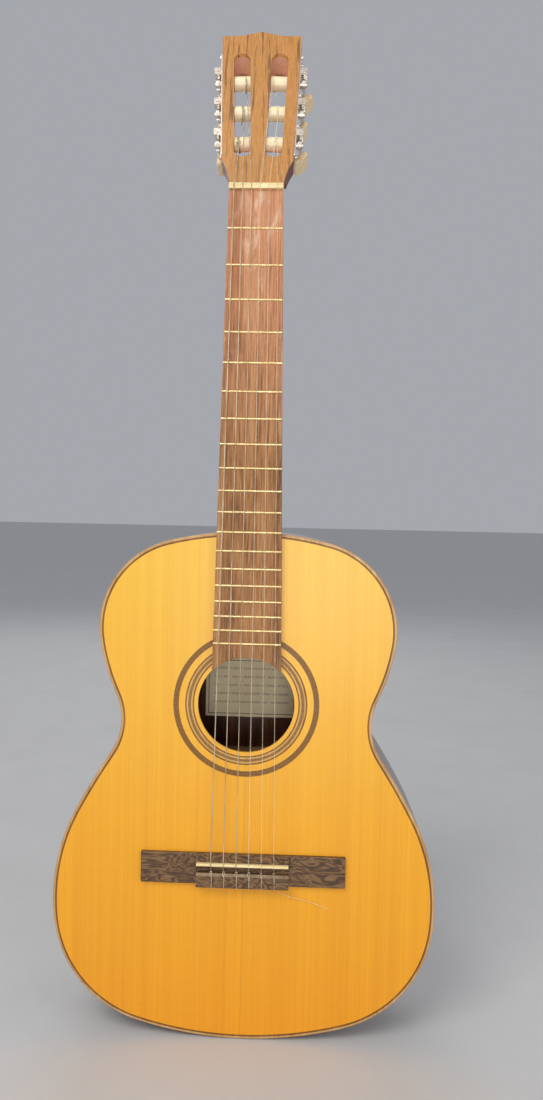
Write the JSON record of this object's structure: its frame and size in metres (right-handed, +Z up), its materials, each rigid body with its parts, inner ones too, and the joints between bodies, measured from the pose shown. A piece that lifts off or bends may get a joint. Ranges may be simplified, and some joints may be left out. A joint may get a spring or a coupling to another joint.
{
  "type": "classical guitar",
  "caption": "Upright classical guitar with slotted head, geared tuning machines, nylon strings, inlaid rosette and tie bridge.",
  "frame": {"origin": "middle of the neck at the nut, on the plane of the soundboard", "axes": "+Z up the neck to the head, +X to the treble side, +Y from the soundboard to the back"},
  "size_m": [0.3788, 0.1095, 1.0047],
  "materials": {
    "spruce": "aged clear gloss lacquer",
    "rosette_brown": "gloss lacquer",
    "rosette_red": "gloss lacquer",
    "dark_line": "gloss lacquer",
    "tan_line": "gloss lacquer",
    "binding_wood": "gloss lacquer",
    "rosewood": "gloss lacquer",
    "inner_wood": "bare sanded wood",
    "label_paper": "aged matt paper",
    "mahogany": "gloss lacquer",
    "head_veneer": "gloss lacquer",
    "fingerboard_wood": "oiled and worn",
    "fret_brass": "worn polish",
    "bone": "polished bone",
    "tie_strip_wood": "aged varnish",
    "bridge_wood": "oiled",
    "nylon": "clear nylon",
    "wound_string": "fine wound wire",
    "tuner_metal": "worn nickel plate",
    "button_cream": "aged gloss plastic",
    "roller_cream": "aged gloss plastic"
  },
  "bodies": {
    "guitar": {"soundboard": "spruce", "rosette_outer_band": "rosette_brown", "rosette_inner_band": "rosette_red", "rosette_dark_lines": "dark_line", "rosette_tan_lines": "tan_line", "top_purfling": "dark_line", "top_binding": "binding_wood", "back_binding": "binding_wood", "back_plate": "rosewood", "rib_treble": "rosewood", "rib_bass": "rosewood", "end_graft": "binding_wood", "tail_block": "inner_wood", "kerfed_linings": "inner_wood", "soundboard_braces": "inner_wood", "back_braces": "inner_wood", "back_strip": "rosewood", "paper_label": "label_paper", "neck": "mahogany", "headstock": "mahogany", "head_veneer": "head_veneer", "heel_cap": "rosewood", "fingerboard": "fingerboard_wood", "frets": "fret_brass", "nut": "bone", "bridge": "bridge_wood", "saddle": "bone", "tie_strip": "tie_strip_wood", "string_1": "nylon", "string_2": "nylon", "string_3": "nylon", "string_4": "wound_string", "string_5": "wound_string", "string_6": "wound_string", "tuner_plates": "tuner_metal", "plate_screws": "tuner_metal"},
    "button_1": {"tuner_button_1": "button_cream", "tuner_worm_1": "tuner_metal"},
    "roller_1": {"tuner_roller_1": "roller_cream", "tuner_gear_1": "tuner_metal"},
    "button_2": {"tuner_button_2": "button_cream", "tuner_worm_2": "tuner_metal"},
    "roller_2": {"tuner_roller_2": "roller_cream", "tuner_gear_2": "tuner_metal"},
    "button_3": {"tuner_button_3": "button_cream", "tuner_worm_3": "tuner_metal"},
    "roller_3": {"tuner_roller_3": "roller_cream", "tuner_gear_3": "tuner_metal"},
    "button_4": {"tuner_button_4": "button_cream", "tuner_worm_4": "tuner_metal"},
    "roller_4": {"tuner_roller_4": "roller_cream", "tuner_gear_4": "tuner_metal"},
    "button_5": {"tuner_button_5": "button_cream", "tuner_worm_5": "tuner_metal"},
    "roller_5": {"tuner_roller_5": "roller_cream", "tuner_gear_5": "tuner_metal"},
    "button_6": {"tuner_button_6": "button_cream", "tuner_worm_6": "tuner_metal"},
    "roller_6": {"tuner_roller_6": "roller_cream", "tuner_gear_6": "tuner_metal"}
  },
  "joints": [
    {"name": "button_1_turn", "type": "hinge", "parent": "guitar", "child": "button_1", "pos_m": [0.04059, 0.0243, 0.06177], "axis": [0, 0.9659, -0.2588], "continuous": true},
    {"name": "roller_1_turn", "type": "hinge", "parent": "guitar", "child": "roller_1", "pos_m": [0.03527, 0.02201, 0.05325], "axis": [0.9994, -0.0093, -0.0346], "continuous": true},
    {"name": "button_2_turn", "type": "hinge", "parent": "guitar", "child": "button_2", "pos_m": [0.04184, 0.03335, 0.09555], "axis": [0, 0.9659, -0.2588], "continuous": true},
    {"name": "roller_2_turn", "type": "hinge", "parent": "guitar", "child": "roller_2", "pos_m": [0.03652, 0.03107, 0.08704], "axis": [0.9994, -0.0093, -0.0346], "continuous": true},
    {"name": "button_3_turn", "type": "hinge", "parent": "guitar", "child": "button_3", "pos_m": [0.0431, 0.0424, 0.12934], "axis": [0, 0.9659, -0.2588], "continuous": true},
    {"name": "roller_3_turn", "type": "hinge", "parent": "guitar", "child": "roller_3", "pos_m": [0.03778, 0.04012, 0.12083], "axis": [0.9994, -0.0093, -0.0346], "continuous": true},
    {"name": "button_4_turn", "type": "hinge", "parent": "guitar", "child": "button_4", "pos_m": [-0.0431, 0.0424, 0.12934], "axis": [0, 0.9659, -0.2588], "continuous": true},
    {"name": "roller_4_turn", "type": "hinge", "parent": "guitar", "child": "roller_4", "pos_m": [-0.03778, 0.04012, 0.12083], "axis": [0.9994, 0.0093, 0.0346], "continuous": true},
    {"name": "button_5_turn", "type": "hinge", "parent": "guitar", "child": "button_5", "pos_m": [-0.04184, 0.03335, 0.09555], "axis": [0, 0.9659, -0.2588], "continuous": true},
    {"name": "roller_5_turn", "type": "hinge", "parent": "guitar", "child": "roller_5", "pos_m": [-0.03652, 0.03107, 0.08704], "axis": [0.9994, 0.0093, 0.0346], "continuous": true},
    {"name": "button_6_turn", "type": "hinge", "parent": "guitar", "child": "button_6", "pos_m": [-0.04059, 0.0243, 0.06177], "axis": [0, 0.9659, -0.2588], "continuous": true},
    {"name": "roller_6_turn", "type": "hinge", "parent": "guitar", "child": "roller_6", "pos_m": [-0.03527, 0.02201, 0.05325], "axis": [0.9994, 0.0093, 0.0346], "continuous": true}
  ],
  "couplings": [
    {"joint": "roller_1_turn", "follows": "button_1_turn", "ratio": 0.071429},
    {"joint": "roller_2_turn", "follows": "button_2_turn", "ratio": 0.071429},
    {"joint": "roller_3_turn", "follows": "button_3_turn", "ratio": 0.071429},
    {"joint": "roller_4_turn", "follows": "button_4_turn", "ratio": 0.071429},
    {"joint": "roller_5_turn", "follows": "button_5_turn", "ratio": 0.071429},
    {"joint": "roller_6_turn", "follows": "button_6_turn", "ratio": 0.071429}
  ]
}
